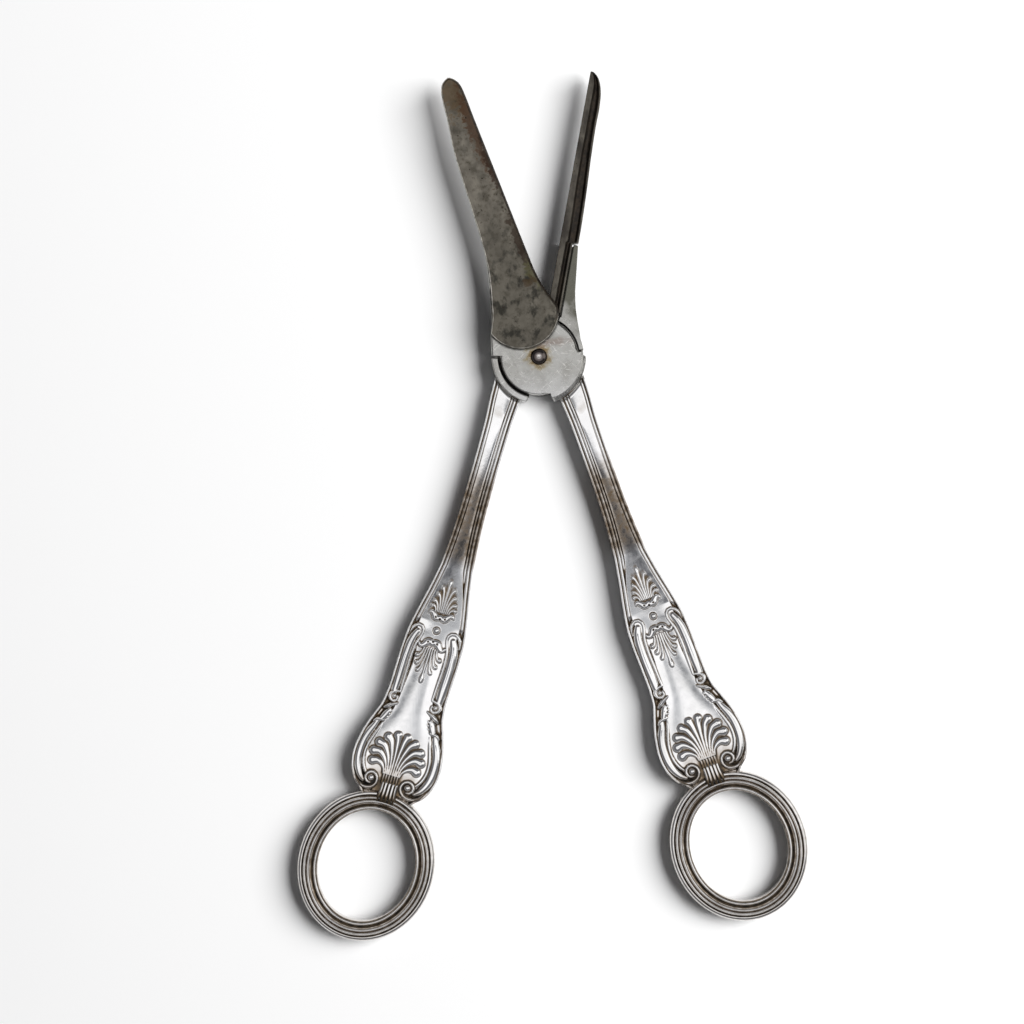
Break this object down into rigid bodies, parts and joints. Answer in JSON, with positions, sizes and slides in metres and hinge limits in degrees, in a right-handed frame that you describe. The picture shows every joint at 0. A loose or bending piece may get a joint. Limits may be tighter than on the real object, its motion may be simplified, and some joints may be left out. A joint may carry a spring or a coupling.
{
  "type": "grape shears",
  "caption": "Silver-plated table shears with steel blades, a shouldered lap joint on one rivet, and shell-patterned handles with oval finger rings.",
  "frame": {"origin": "on the pivot axis, at the flush tail of the rivet, which is the plane that the shears lie on", "axes": "+Z along the pivot towards the domed rivet head, +Y from the pivot towards the blades, midway between the two handles"},
  "size_m": [0.1022, 0.1721, 0.006],
  "materials": {
    "silver_plate": "worn bright silver plate, fine scratches, brown tarnish in the recesses",
    "blade_steel": "old carbon steel, mottled grey-brown patina with small rust pits",
    "rivet_steel": "dark domed steel with a rust-brown edge"
  },
  "bodies": {
    "rear_half": {"rear_joint_plate": "silver_plate", "rear_blade": "blade_steel", "left_handle": "silver_plate", "left_finger_ring": "silver_plate", "pivot_rivet": "rivet_steel"},
    "front_half": {"front_joint_plate": "silver_plate", "front_blade": "blade_steel", "right_handle": "silver_plate", "right_finger_ring": "silver_plate"}
  },
  "joints": [
    {"name": "pivot", "type": "hinge", "parent": "rear_half", "child": "front_half", "pos_m": [0, 0, 0], "axis": [0, 0, 1], "range_deg": [-26, 0]}
  ]
}
